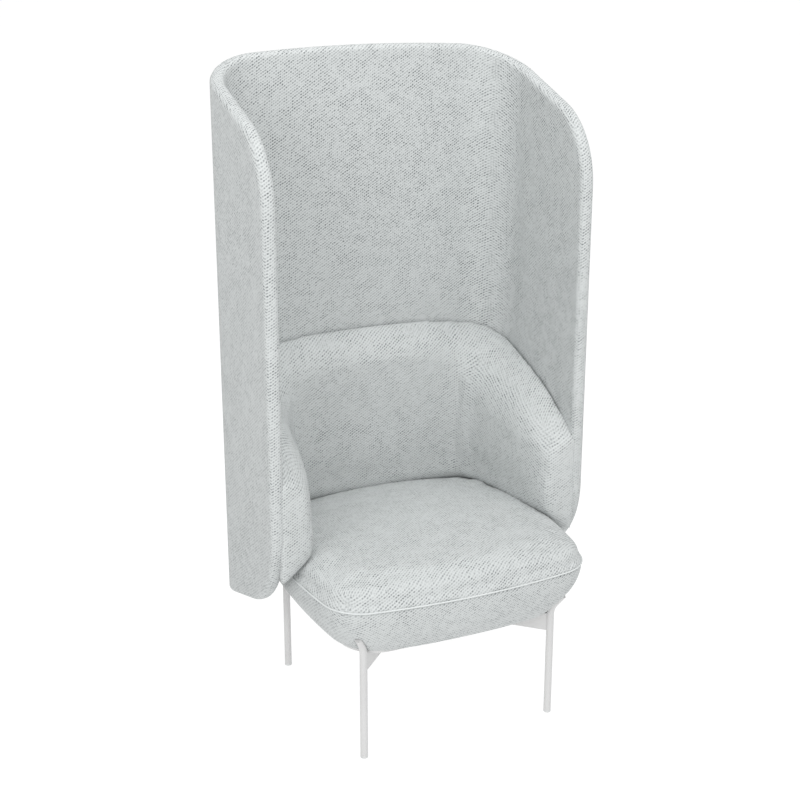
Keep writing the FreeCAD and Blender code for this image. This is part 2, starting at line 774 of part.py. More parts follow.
def rim_rounded(shape, offset):
    """The layer with its rim rounded along the face at the given distance."""
    points = screen_curve(offset)
    side = points[-1].x
    back = points[3].y
    corner = points[3].x - points[0].x
    centre = Vector(side - corner, back - corner, 0)

    def on_face(point):
        beyond_x = max(abs(point.x) - centre.x, 0.0)
        beyond_y = max(point.y - centre.y, 0.0)
        return abs(math.hypot(beyond_x, beyond_y) - corner) < TOLERANCE

    rim = []
    for edge in shape.Edges:
        ends = (edge.FirstParameter, edge.LastParameter)
        middle = sum(ends) / 2
        tests = [edge.valueAt(end) for end in ends] + [edge.valueAt(middle)]
        upright = abs(tests[0].x - tests[1].x) + abs(tests[0].y - tests[1].y) < TOLERANCE
        at_front = all(abs(point.y + size("screen_front")) < TOLERANCE for point in tests)
        if all(on_face(point) for point in tests) and (not upright or at_front):
            rim.append(edge)
    return shape.makeFillet(size("rim_rounding"), rim)


def screw_start(sign, side_step):
    """Where a screen screw's head meets its bracket."""
    return Vector(
        sign * size("bracket_offset") + side_step * size("screw_spacing") / 2,
        INNER_BACK - size("bracket_thickness"),
        RAIL_TOP - size("bracket_thickness") + size("screw_lift"),
    )


def screw_shank(sign, side_step):
    """The round shank that runs from a bracket into the screen's core."""
    radius = size("screw_diameter") / 2
    length = size("bracket_thickness") + size("screw_grip")
    return Part.makeCylinder(radius, length, screw_start(sign, side_step), Vector(0, 1, 0))


shanks = [screw_shank(sign, side_step) for sign in (-1, 1) for side_step in (-1, 1)]
middle_offset = size("screen_thickness") / 2
core = screen_layer(
    middle_offset - size("core_thickness") / 2,
    middle_offset + size("core_thickness") / 2,
    size("core_inset"),
)
core = core.cut(shanks)
feature("screen_core", core)
outer_layer = screen_layer(0.0, middle_offset, 0.0)
feature("screen_outer_cover", rim_rounded(outer_layer, 0.0).cut([core, *shanks]))
inner_layer = screen_layer(middle_offset, size("screen_thickness"), 0.0)
feature("screen_inner_cover", rim_rounded(inner_layer, size("screen_thickness")).cut([core, *shanks]))


# Tub cushions
# The shares give the round shoulder's reach, its middle point and the fullness of the face.
SHOULDER_TO_DEPTH = 1.3
SHOULDER_TO_FACE = 0.5
ROUND_ACROSS = 0.62
ROUND_DOWN = 0.20
FACE_FULLNESS = 1.04
CUSHION_OVERLAP = 14.0


def cushion_section(outer, inner, crest, overlap):
    """An upright section of a tub cushion between a point on the screen and one on its inner face.

    The top is a round shoulder, the face is slightly full and the underside slopes up and inwards.
    """
    span = inner - outer
    depth = span.Length
    way = Vector(span.x, span.y, 0).normalize()

    def at(share, height):
        point = outer + way * (depth * share)
        return Vector(point.x, point.y, height)

    shoulder = min(SHOULDER_TO_DEPTH * depth, SHOULDER_TO_FACE * (crest - INNER_BOTTOM))
    back = -overlap / depth
    top_outer = at(back, crest)
    low_back = at(back, OUTER_BOTTOM - overlap)
    face_top = at(1.0, crest - shoulder)
    face_low = at(1.0, INNER_BOTTOM)
    edges = [
        Part.makeLine(low_back, top_outer),
        arc_through(top_outer, at(ROUND_ACROSS, crest - ROUND_DOWN * shoulder), face_top),
        arc_through(face_top, at(FACE_FULLNESS, (crest - shoulder + INNER_BOTTOM) / 2), face_low),
        Part.makeLine(face_low, low_back),
    ]
    return Part.Wire(edges)


def inside_screen():
    """The room inside the screen's inner face, less the cushion clearance."""
    offset = size("screen_thickness") + size("cushion_clearance")
    points = screen_curve(offset)
    edges = screen_edges(offset)
    edges.append(Part.makeLine(points[-1], points[0]))
    return prism(Part.Wire(Part.__sortEdges__(edges)), size("screen_top"))


corner_middle = Vector(
    INNER_X - INNER_CORNER * (1 - math.sqrt(0.5)),
    INNER_BACK - INNER_CORNER * (1 - math.sqrt(0.5)),
    0,
)
arm_rear_y = INNER_BACK - INNER_CORNER - size("arm_rear_setback")
corner_inner = Vector(
    INNER_X - size("corner_side_thickness"),
    INNER_BACK - size("corner_back_thickness"),
    0,
)
arm_front_y = -size("screen_front") + size("rim_rounding") / 2
room = inside_screen()


def trimmed_cushion(sections):
    """A cushion through its sections, trimmed to the screen and to the seat that it rests on."""
    body = Part.makeLoft(sections, True, False)
    return body.common(room).cut(top_cover)


def arm_sections(sign):
    """The sections of one arm from its front to the mitre at the corner."""
    stations = [
        (Vector(INNER_X, arm_front_y, 0), "arm_front_thickness", "arm_front_crest_rise"),
        (Vector(INNER_X, 0, 0), "arm_middle_thickness", "arm_middle_crest_rise"),
        (Vector(INNER_X, arm_rear_y, 0), "arm_rear_thickness", "arm_rear_crest_rise"),
    ]
    sections = []
    for point, thickness, crest in stations:
        inner = point - Vector(size(thickness), 0, 0)
        sections.append((point, inner, SEAT_TOP + size(crest)))
    sections.append((corner_middle, corner_inner, SEAT_TOP + size("corner_crest_rise")))
    return [section_on_side(sign, *section) for section in sections]


def section_on_side(sign, outer, inner, crest):
    """A section on the right, or its mirror image on the left."""
    first = Vector(sign * outer.x, outer.y, 0)
    second = Vector(sign * inner.x, inner.y, 0)
    return cushion_section(first, second, crest, CUSHION_OVERLAP)


def back_sections():
    """The sections of the back cushion, from one mitre to the other."""
    near = INNER_X - size("back_flat_inset")
    side_drop = size("back_side_drop")
    crest = SEAT_TOP + size("back_crest_rise")
    sections = [section_on_side(-1, corner_middle, corner_inner, SEAT_TOP + size("corner_crest_rise"))]
    for x, drop in ((-near, side_drop), (0.0, 0.0), (near, side_drop)):
        outer = Vector(x, INNER_BACK, 0)
        inner = Vector(x, INNER_BACK - size("back_thickness"), 0)
        sections.append(cushion_section(outer, inner, crest - drop, CUSHION_OVERLAP))
    sections.append(section_on_side(1, corner_middle, corner_inner, SEAT_TOP + size("corner_crest_rise")))
    return sections


feature("back_cushion", trimmed_cushion(back_sections()))
feature("arm_cushion_left", trimmed_cushion(arm_sections(-1)))
feature("arm_cushion_right", trimmed_cushion(arm_sections(1)))


# Rear brackets that carry the screen
def make_bracket(label, sign):
    """An angle from under the seat plate to the inner face of the screen, drilled for its screws."""
    side = f"{sign} * Sizes.bracket_offset - Sizes.bracket_width / 2"
    bottom = f"{PLATE_BOTTOM_TEXT} - Sizes.bracket_thickness"
    foot = box(
        f"{label}_foot",
        ("Sizes.bracket_width", "Sizes.bracket_reach", "Sizes.bracket_thickness"),
        (side, f"{INNER_BACK_TEXT} - Sizes.bracket_reach", bottom),
    )
    upright = box(
        f"{label}_upright",
        ("Sizes.bracket_width", "Sizes.bracket_thickness", "Sizes.bracket_height"),
        (side, f"{INNER_BACK_TEXT} - Sizes.bracket_thickness", bottom),
    )
    angle = doc.addObject("Part::Fuse", f"{label}_angle")
    angle.Base = foot
    angle.Tool = upright
    hole = "(Sizes.bolt_diameter + Sizes.bolt_clearance) / 2"
    base = (f"{sign} * Sizes.bracket_offset", BRACKET_BOLT_TEXT, bottom)
    drills = [cylinder(f"{label}_bolt_hole", hole, "Sizes.bracket_thickness", base)]
    for side_step in (-1, 1):
        drill = doc.addObject("Part::Feature", f"{label}_screw_hole")
        drill.Shape = screw_shank(sign, side_step)
        drills.append(drill)
    tools = doc.addObject("Part::MultiFuse", f"{label}_drills")
    tools.Shapes = drills
    bracket = doc.addObject("Part::Cut", label)
    bracket.Base = angle
    bracket.Tool = tools
    keep(label, bracket)


for label, sign in (("bracket_rear_left", -1), ("bracket_rear_right", 1)):
    make_bracket(label, sign)

bracket_bolts = [
    bolt(
        sign * size("bracket_offset"),
        BRACKET_BOLT_Y,
        RAIL_TOP - size("bracket_thickness"),
        size("bracket_thickness") + size("plate_thickness") + size("bolt_grip"),
    )
    for sign in (-1, 1)
]
feature("bracket_bolts", Part.makeCompound(bracket_bolts))
screws = []
for sign in (-1, 1):
    for side_step in (-1, 1):
        seat = screw_start(sign, side_step)
        height = size("screw_head_height")
        head = Part.makeCylinder(
            size("screw_head_diameter") / 2, height, seat - Vector(0, height, 0), Vector(0, 1, 0)
        )
        screws.append(head.fuse(screw_shank(sign, side_step)).removeSplitter())
feature("screen_screws", Part.makeCompound(screws))


# Checks and export
doc.recompute()
for item in doc.Objects:
    states = [state for state in item.State if state in ("Invalid", "Error")]
    if states:
        raise RuntimeError(f"{item.Name}: {states}")
for label, item in nodes.items():
    shape = item.Shape
    if shape.isNull() or not shape.isValid() or not shape.Solids:
        raise RuntimeError(f"{label}: no valid solid")
    print(f"{label}: {len(shape.Solids)} solid(s), {shape.Volume / 1000:.1f} cm3")
for label, item in nodes.items():
    item.Shape.exportStep(f"parts/{label}.step")
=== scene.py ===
"""Dresses the acoustic high back lounge chair: a screen, a tub seat and a slender frame.

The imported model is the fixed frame. The metal, board and hidden pieces keep their own meshes and get
finishes. The screen, the tub, the seat covers and the piping are modelled here as soft upholstery.
"""

from __future__ import annotations

import json
import logging
import math
from dataclasses import dataclass
from enum import Enum
from typing import Any, Sequence

import bmesh
import bpy
import numpy as np
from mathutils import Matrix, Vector

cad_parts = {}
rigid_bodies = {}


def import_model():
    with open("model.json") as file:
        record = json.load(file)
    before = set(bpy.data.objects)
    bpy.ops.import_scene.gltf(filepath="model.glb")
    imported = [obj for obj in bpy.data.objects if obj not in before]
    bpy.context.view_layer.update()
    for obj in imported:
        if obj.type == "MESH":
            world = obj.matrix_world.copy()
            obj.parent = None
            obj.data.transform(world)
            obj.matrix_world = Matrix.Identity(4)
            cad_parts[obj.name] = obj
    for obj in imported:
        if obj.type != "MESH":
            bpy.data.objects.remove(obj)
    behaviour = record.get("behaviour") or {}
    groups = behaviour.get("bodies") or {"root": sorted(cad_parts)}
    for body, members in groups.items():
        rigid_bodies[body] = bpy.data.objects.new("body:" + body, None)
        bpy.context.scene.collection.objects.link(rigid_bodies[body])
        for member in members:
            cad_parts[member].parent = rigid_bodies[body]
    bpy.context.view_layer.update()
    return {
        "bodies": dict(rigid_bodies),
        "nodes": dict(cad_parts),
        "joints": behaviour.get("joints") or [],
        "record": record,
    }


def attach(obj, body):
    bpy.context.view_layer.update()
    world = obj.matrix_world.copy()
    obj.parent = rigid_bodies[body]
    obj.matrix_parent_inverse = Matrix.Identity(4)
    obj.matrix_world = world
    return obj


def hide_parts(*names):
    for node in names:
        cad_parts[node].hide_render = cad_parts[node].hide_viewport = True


log = logging.getLogger("lounge_chair")

BODY = "root"


class Edge(Enum):
    """The two long edges of the screen."""

    TOP = 1.0
    BOTTOM = -1.0


class Value:
    """One socket of a node tree, with arithmetic that adds Math nodes."""

    def __init__(self, tree: "NodeSheet", socket: Any) -> None:
        """Wraps a socket.

        Args:
            tree: The sheet that new nodes are added to.
            socket: The output socket that holds the value.
        """
        self.tree = tree
        self.socket = socket

    def _math(self, operation: str, *others: Any) -> "Value":
        """Adds one Math node that takes this value first.

        Args:
            operation: The Math node's operation.
            others: The further values or numbers.

        Returns:
            The node's value.
        """
        inputs = dict(enumerate((self, *others)))
        return self.tree.add("ShaderNodeMath", {"operation": operation}, inputs)

    def __add__(self, other: Any) -> "Value":
        """Adds a value or number."""
        return self._math("ADD", other)

    __radd__ = __add__

    def __mul__(self, other: Any) -> "Value":
        """Multiplies by a value or number."""
        return self._math("MULTIPLY", other)

    def __sub__(self, other: Any) -> "Value":
        """Subtracts a value or number."""
        return self._math("SUBTRACT", other)

    def __rsub__(self, other: Any) -> "Value":
        """Subtracts this value from a number."""
        return (self * -1.0) + other

    def __truediv__(self, other: Any) -> "Value":
        """Divides by a value or number."""
        return self._math("DIVIDE", other)

    def __pow__(self, other: Any) -> "Value":
        """Raises to a power."""
        return self._math("POWER", other)

    def wave(self) -> "Value":
        """The sine of a whole turn per unit, from 0 to 1."""
        return (self * (2 * math.pi))._math("SINE") * 0.5 + 0.5

    def size(self) -> "Value":
        """The absolute value."""
        return self._math("ABSOLUTE")

    def floor(self) -> "Value":
        """The whole number below."""
        return self._math("FLOOR")

    def off_centre(self) -> "Value":
        """How far from the middle of its own unit step: 0 in the middle and 1 at the ends."""
        return (self._math("FRACT") - 0.5).size() * 2.0

    def clamped(self) -> "Value":
        """The value held between 0 and 1."""
        return self._math("MAXIMUM", 0.0)._math("MINIMUM", 1.0)

    def eased(self, low: float, high: float) -> "Value":
        """A smooth step from 0 at low to 1 at high.

        Args:
            low: Where the step starts.
            high: Where the step ends.

        Returns:
            The eased value.
        """
        settings = {"interpolation_type": "SMOOTHSTEP"}
        return self.tree.add("ShaderNodeMapRange", settings, {0: self, 1: low, 2: high})


class NodeSheet:
    """A material's node tree with one method that adds any node."""

    def __init__(self, name: str) -> None:
        """Makes an empty node material.

        Args:
            name: The material's name.
        """
        self.material = bpy.data.materials.new(name)
        self.material.use_nodes = True
        self.tree = self.material.node_tree
        self.tree.nodes.clear()

    def add(
        self,
        kind: str,
        settings: dict[str, Any] | None = None,
        inputs: dict[Any, Any] | None = None,
        output: int | str = 0,
    ) -> Value:
        """Adds a node, sets it and joins its inputs.

        Args:
            kind: The node's type.
            settings: The node's own settings, set before its inputs.
            inputs: Values, numbers or colours by input name or number.
            output: The name or number of the output that is handed back.

        Returns:
            The chosen output.
        """
        node = self.tree.nodes.new(kind)
        for key, setting in (settings or {}).items():
            setattr(node, key, setting)
        for key, given in (inputs or {}).items():
            if isinstance(given, Value):
                self.tree.links.new(given.socket, node.inputs[key])
            else:
                node.inputs[key].default_value = given
        return Value(self, node.outputs[output] if len(node.outputs) else None)

    def blend(self, factor: Value, first: Any, second: Any) -> Value:
        """Mixes two colours.

        Args:
            factor: 0 for the first colour and 1 for the second.
            first: A colour or a colour socket.
            second: A colour or a colour socket.

        Returns:
            The mixed colour.
        """
        settings = {"data_type": "RGBA", "blend_type": "MIX"}
        return self.add("ShaderNodeMix", settings, {0: factor, 6: first, 7: second}, output=2)

    def finish(self, inputs: dict[str, Any]) -> bpy.types.Material:
        """Adds the surface shader and closes the material.

        Args:
            inputs: The shader's inputs by name.

        Returns:
            The finished material.
        """
        surface = self.add("ShaderNodeBsdfPrincipled", None, inputs)
        self.add("ShaderNodeOutputMaterial", None, {"Surface": surface})
        return self.material

    def place(self) -> Value:
        """The place on the piece, in metres."""
        return self.add("ShaderNodeTexCoord", output="Object")

    def axes(self, vector: Value) -> list[Value]:
        """A vector's three parts.

        Args:
            vector: The vector.

        Returns:
            Its x, y and z.
        """
        return [self.add("ShaderNodeSeparateXYZ", None, {0: vector}, output=axis) for axis in range(3)]

    def noise(self, scale: float, detail: float = 2.0, roughness: float = 0.5) -> Value:
        """Soft noise over the piece.

        Args:
            scale: Features per metre.
            detail: Octaves of finer noise.
            roughness: How strong the finer octaves are.

        Returns:
            A value near 0.5.
        """
        inputs = {"Vector": self.place(), "Scale": scale, "Detail": detail, "Roughness": roughness}
        return self.add("ShaderNodeTexNoise", None, inputs)

    def relief(self, height: Value, strength: float, depth: float) -> Value:
        """Turns a height into a bumped normal.

        Args:
            height: The height value.
            strength: The bump's strength.
            depth: The height's size in metres.

        Returns:
            The normal.
        """
        inputs = {"Strength": strength, "Distance": depth, "Height": height}
        return self.add("ShaderNodeBump", None, inputs, output="Normal")


@dataclass(frozen=True)
class WovenWool:
    """A pale two-tone weave whose dark flecks stand in diagonal rows, laid on from three sides; the
    flecks are dark yarn and painted shade, sunk into the weave's grooves.
    """

    name: str
    light: tuple[float, float, float] = (0.545, 0.566, 0.564)
    # The fleck colour paints dark yarn and also the shade in the weave's grooves.
    dark: tuple[float, float, float] = (0.125, 0.136, 0.140)
    pitch: float = 0.0052
    dash: float = 0.0059
    lean: float = 33.0
    contrast: float = 0.88
    relief: float = 0.0008

    def _flecks_and_groove_shade(self, sheet: NodeSheet, across: Value, up: Value) -> Value:
        """The flecks on one flat plane: dark yarn and painted shade, laid where the weave's grooves
        sink.

        Args:
            sheet: The material's node sheet.
            across: The coordinate across the plane, in metres.
            up: The coordinate up the plane, in metres.

        Returns:
            0 on a light yarn and up to 1 in the middle of a dark fleck, which paints dark yarn and
            groove shade.
        """
        lean = math.radians(self.lean)
        row = (up * math.cos(lean) - across * math.sin(lean)) / self.pitch
        along = (across * math.cos(lean) + up * math.sin(lean)) / self.dash
        along = along + row.floor() * 0.37
        cell = sheet.add("ShaderNodeCombineXYZ", None, {0: row.floor(), 1: along.floor()})
        depth = sheet.add("ShaderNodeTexWhiteNoise", {"noise_dimensions": "2D"}, {"Vector": cell})
        # Painted shade: the flecks fill the middle of each row, where the relief below is sunk into a
        # groove.
        side = 1.0 - row.off_centre().eased(0.15, 0.80)
        ends = 1.0 - along.off_centre().eased(0.35, 0.90)
        return side * (ends * 0.8 + 0.2) * (depth * 0.70 + 0.30)

    def make(self) -> bpy.types.Material:
        """Builds the fabric."""
        sheet = NodeSheet(self.name)
        wander = sheet.add(
            "ShaderNodeTexNoise",
            None,
            {"Vector": sheet.place(), "Scale": 55.0, "Detail": 1.0},
            output="Color",
        )
        shift = sheet.add(
            "ShaderNodeVectorMath", {"operation": "SCALE"}, {0: wander, "Scale": self.pitch * 0.8}
        )
        spot = sheet.add("ShaderNodeVectorMath", {"operation": "ADD"}, {0: sheet.place(), 1: shift})
        x, y, z = sheet.axes(spot)
        facing = sheet.add("ShaderNodeTexCoord", output="Normal")
        shares = [part.size() ** 8.0 for part in sheet.axes(facing)]
        total = shares[0] + shares[1] + shares[2] + 0.0001
        planes = [(y, z), (x, z), (x, y)]
        # Dark yarn and painted groove shade, mixed from three sides by the facing.
        flecks_and_groove_shade = sum(
            self._flecks_and_groove_shade(sheet, across, up) * (share / total)
            for share, (across, up) in zip(shares, planes)
        )
        fibre = sheet.noise(520.0, detail=2.0, roughness=0.7)
        patches = sheet.noise(26.0, detail=2.0).eased(0.25, 0.75)
        mask = flecks_and_groove_shade * (patches * 0.5 + self.contrast - 0.25) + (fibre - 0.5) * 0.22
        # The dark colour here paints dark yarn and the shade in the weave's grooves.
        colour = sheet.blend(mask.clamped(), (*self.light, 1.0), (*self.dark, 1.0))
        drift = sheet.noise(5.0, detail=1.0).eased(0.3, 0.7) * 0.12
        colour = sheet.blend(drift, colour, (0.48, 0.50, 0.50, 1.0))
        yarn = (1.0 - flecks_and_groove_shade) * 0.75 + fibre * 0.25
        return sheet.finish(
            {
                "Base Color": colour,
                "Roughness": 0.93 - flecks_and_groove_shade * 0.06,
                "Specular IOR Level": 0.2,
                "Sheen Weight": 0.10,
                "Sheen Roughness": 0.45,
                "Normal": sheet.relief(yarn, 0.6, self.relief),
            }
        )


@dataclass(frozen=True)
class PipingCord:
    """A pale cord cover whose fine ribs lean across it."""

    name: str
    colour: tuple[float, float, float] = (0.620, 0.642, 0.640)
    ribs: float = 620.0

    def make(self) -> bpy.types.Material:
        """Builds the piping's fabric."""
        sheet = NodeSheet(self.name)
        x, y, z = sheet.axes(sheet.place())
        ribs = ((x + y + z * 0.8) * self.ribs).wave()
        fibre = sheet.noise(700.0, detail=1.0)
        mask = ribs * 0.10 + fibre * 0.10
        colour = sheet.blend(mask, (*self.colour, 1.0), (0.42, 0.44, 0.44, 1.0))
        return sheet.finish(
            {
                "Base Color": colour,
                "Roughness": 0.86 + fibre * 0.08,
                "Specular IOR Level": 0.22,
                "Sheen Weight": 0.10,
                "Normal": sheet.relief(ribs * 0.7 + fibre * 0.3, 0.35, 0.0003),
            }
        )


@dataclass(frozen=True)
class PowderCoat:
    """Satin powder coat with a fine orange-peel skin."""

    name: str
    colour: tuple[float, float, float] = (0.565, 0.566, 0.564)
    roughness: float = 0.42

    def make(self) -> bpy.types.Material:
        """Builds the coat."""
        sheet = NodeSheet(self.name)
        peel = sheet.noise(900.0, detail=2.0)
        drift = sheet.noise(9.0, detail=2.0)
        worn = tuple(0.93 * part for part in self.colour)
        colour = sheet.blend(drift.eased(0.35, 0.75) * 0.5, (*self.colour, 1.0), (*worn, 1.0))
        return sheet.finish(
            {
                "Base Color": colour,
                "Roughness": self.roughness + (peel - 0.5) * 0.12 + drift * 0.06,
                "Specular IOR Level": 0.5,
                "Coat Weight": 0.12 + drift * 0.06,
                "Normal": sheet.relief(peel, 0.12, 0.0002),
            }
        )


@dataclass(frozen=True)
class MouldedPlastic:
    """Matte moulded plastic with a spark-eroded grain."""

    name: str
    colour: tuple[float, float, float] = (0.58, 0.59, 0.59)

    def make(self) -> bpy.types.Material:
        """Builds the plastic."""
        sheet = NodeSheet(self.name)
        grain = sheet.noise(1400.0, detail=2.0, roughness=0.7)
        scuff = sheet.noise(60.0, detail=3.0).eased(0.55, 0.8)
        darker = tuple(0.82 * part for part in self.colour)
        colour = sheet.blend(scuff * 0.5, (*self.colour, 1.0), (*darker, 1.0))
        return sheet.finish(
            {
                "Base Color": colour,
                "Roughness": 0.62 + grain * 0.2,
                "Normal": sheet.relief(grain, 0.25, 0.0002),
            }
        )


@dataclass(frozen=True)
class SandedBoard:
    """Layered board with a long drawn-out grain."""

    name: str
    early: tuple[float, float, float] = (0.60, 0.46, 0.30)
    late: tuple[float, float, float] = (0.42, 0.29, 0.17)

    def make(self) -> bpy.types.Material:
        """Builds the board."""
        sheet = NodeSheet(self.name)
        stretched = sheet.add(
            "ShaderNodeMapping", None, {"Vector": sheet.place(), "Scale": (3.0, 40.0, 40.0)}
        )
        figure = sheet.add(
            "ShaderNodeTexNoise", None, {"Vector": stretched, "Scale": 3.0, "Detail": 5.0}
        )
        pores = sheet.add(
            "ShaderNodeTexNoise", None, {"Vector": stretched, "Scale": 30.0, "Detail": 2.0}
        )
        grain = (figure * 9.0).wave() * 0.5 + pores * 0.5
        colour = sheet.blend(grain.eased(0.2, 0.9), (*self.early, 1.0), (*self.late, 1.0))
        return sheet.finish(
            {
                "Base Color": colour,
                "Roughness": 0.55 + grain * 0.2,
                "Normal": sheet.relief(pores, 0.25, 0.0003),
            }
        )


@dataclass(frozen=True)
class OpenFoam:
    """Cut seating foam with open cells, painted darker in their sunken middles as shade."""

    name: str
    colour: tuple[float, float, float] = (0.78, 0.76, 0.66)

    def make(self) -> bpy.types.Material:
        """Builds the foam."""
        sheet = NodeSheet(self.name)
        cells = sheet.add(
            "ShaderNodeTexVoronoi",
            {"feature": "DISTANCE_TO_EDGE"},
            {"Vector": sheet.place(), "Scale": 420.0},
        )
        wall = cells.eased(0.0, 0.25)
        tint = sheet.noise(12.0, detail=2.0)
        # Painted shade: the sunken middles of the open cells are darkened.
        pit_shade = tuple(0.7 * part for part in self.colour)
        colour = sheet.blend(wall * 0.7 + tint * 0.2, (*self.colour, 1.0), (*pit_shade, 1.0))
        return sheet.finish(
            {
                "Base Color": colour,
                "Roughness": 0.95 - wall * 0.05,
                "Normal": sheet.relief(1.0 - wall, 0.5, 0.0008),
            }
        )


@dataclass(frozen=True)
class ZincPlate:
    """Bright zinc plate with a faint turned grain."""

    name: str
    colour: tuple[float, float, float] = (0.62, 0.63, 0.64)

    def make(self) -> bpy.types.Material:
        """Builds the plate."""
        sheet = NodeSheet(self.name)
        spangle = sheet.noise(500.0, detail=3.0)
        dull = sheet.noise(80.0, detail=2.0).eased(0.4, 0.8)
        darker = tuple(0.8 * part for part in self.colour)
        colour = sheet.blend(dull * 0.6, (*self.colour, 1.0), (*darker, 1.0))
        return sheet.finish(
            {
                "Base Color": colour,
                "Metallic": 1.0,
                "Roughness": 0.30 + spangle * 0.15 + dull * 0.1,
                "Normal": sheet.relief(spangle, 0.1, 0.0002),
            }
        )


class Bench:
    """Mesh work that every piece shares."""

    @staticmethod
    def deselect() -> None:
        """Leaves object mode with nothing selected."""
        if bpy.context.object and bpy.context.object.mode != "OBJECT":
            bpy.ops.object.mode_set(mode="OBJECT")
        bpy.ops.object.select_all(action="DESELECT")

    @staticmethod
    def pick(piece: bpy.types.Object) -> None:
        """Makes one object the only selected and active one.

        Args:
            piece: The object.
        """
        Bench.deselect()
        piece.select_set(True)
        bpy.context.view_layer.objects.active = piece

    @staticmethod
    def points(piece: bpy.types.Object) -> np.ndarray:
        """The object's vertices as rows of x, y and z."""
        flat = np.empty(len(piece.data.vertices) * 3)
        piece.data.vertices.foreach_get("co", flat)
        return flat.reshape(-1, 3)

    @staticmethod
    def normals(piece: bpy.types.Object) -> np.ndarray:
        """The object's vertex normals as rows."""
        flat = np.empty(len(piece.data.vertices) * 3)
        piece.data.vertices.foreach_get("normal", flat)
        return flat.reshape(-1, 3)

    @staticmethod
    def set_points(piece: bpy.types.Object, places: np.ndarray) -> None:
        """Moves the object's vertices.

        Args:
            piece: The object.
            places: One row for each vertex.
        """
        piece.data.vertices.foreach_set("co", places.ravel())
        piece.data.update()

    @staticmethod
    def merged_copy(frame: dict[str, Any], nodes: Sequence[str], name: str) -> bpy.types.Object:
        """A copy of some CAD nodes' meshes as one piece, with its doubles merged.

        Args:
            frame: The loaded frame.
            nodes: The nodes to copy.
            name: The new piece's name.

        Returns:
            The new piece.
        """
        whole = bmesh.new()
        for node in nodes:
            whole.from_mesh(frame["nodes"][node].data)
        bmesh.ops.remove_doubles(whole, verts=whole.verts, dist=1e-6)
        mesh = bpy.data.meshes.new(name)
        whole.to_mesh(mesh)
        whole.free()
        piece = bpy.data.objects.new(name, mesh)
        bpy.context.scene.collection.objects.link(piece)
        return piece

    @staticmethod
    def applied(piece: bpy.types.Object, kind: str, **settings: Any) -> None:
        """Adds one modifier, sets it and applies it.

        Args:
            piece: The object.
            kind: The modifier's type.
            settings: The modifier's settings.
        """
        Bench.pick(piece)
        modifier = piece.modifiers.new(kind.lower(), kind)
        for key, setting in settings.items():
            setattr(modifier, key, setting)
        bpy.ops.object.modifier_apply(modifier=modifier.name)

    @staticmethod
    def puffed(
        piece: bpy.types.Object, held: np.ndarray, pressure: float, cap: float, frames: int = 20
    ) -> None:
        """Swells a closed piece as cloth with air in it, and caps how far each point moves.

        Args:
            piece: The closed piece.
            held: 1 where the cover is sewn down and 0 where it is free, for each vertex.
            pressure: The air's pressure.
            cap: The furthest that a free point may move, in metres.
            frames: How many steps the cloth takes.
        """
        before = Bench.points(piece).copy()
        sewn = piece.vertex_groups.new(name="sewn")
        for index in np.flatnonzero(held > 0.5):
            sewn.add([int(index)], 1.0, "REPLACE")
        Bench.pick(piece)
        cloth = piece.modifiers.new("cover", "CLOTH")
        cover = cloth.settings
        cover.quality = 4
        cover.mass = 0.2
        cover.tension_stiffness = cover.compression_stiffness = 12.0
        cover.shear_stiffness = 8.0
        cover.bending_stiffness = 0.6
        cover.use_pressure = True
        cover.uniform_pressure_force = pressure
        cover.effector_weights.gravity = 0.0
        cover.vertex_group_mass = "sewn"
        cloth.collision_settings.use_collision = False
        cloth.point_cache.frame_start = 1
        cloth.point_cache.frame_end = frames
        scene = bpy.context.scene
        for step in range(1, frames + 1):
            scene.frame_set(step)
        bpy.ops.object.modifier_apply(modifier=cloth.name)
        scene.frame_set(1)
        moved = Bench.points(piece) - before
        length = np.linalg.norm(moved, axis=1, keepdims=True)
        room = cap * (1.0 - held[:, None])
        Bench.set_points(piece, before + moved * np.minimum(1.0, room / np.maximum(length, 1e-9)))
        piece.vertex_groups.remove(piece.vertex_groups["sewn"])

    @staticmethod
    def smooth_shaded(piece: bpy.types.Object) -> None:
        """Shades a piece smooth all over.

        Args:
            piece: The object.
        """
        Bench.pick(piece)
        bpy.ops.object.shade_smooth_by_angle(angle=math.pi)
        Bench.deselect()

    @staticmethod
    def placed(
        piece: bpy.types.Object,
        material: bpy.types.Material,
        slot: str,
        replaced: Sequence[str],
        fill: float | None = None,
    ) -> None:
        """Dresses a new piece and ties it to the frame.

        Args:
            piece: The finished piece.
            material: Its finish.
            slot: The record's material slot; not used.
            replaced: The CAD nodes that it stands for.
            fill: How full it is where it is padded; not used.
        """
        piece.data.materials.clear()
        piece.data.materials.append(material)
        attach(piece, BODY)
        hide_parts(*replaced)
        log.info("%s: %d faces", piece.name, len(piece.data.polygons))


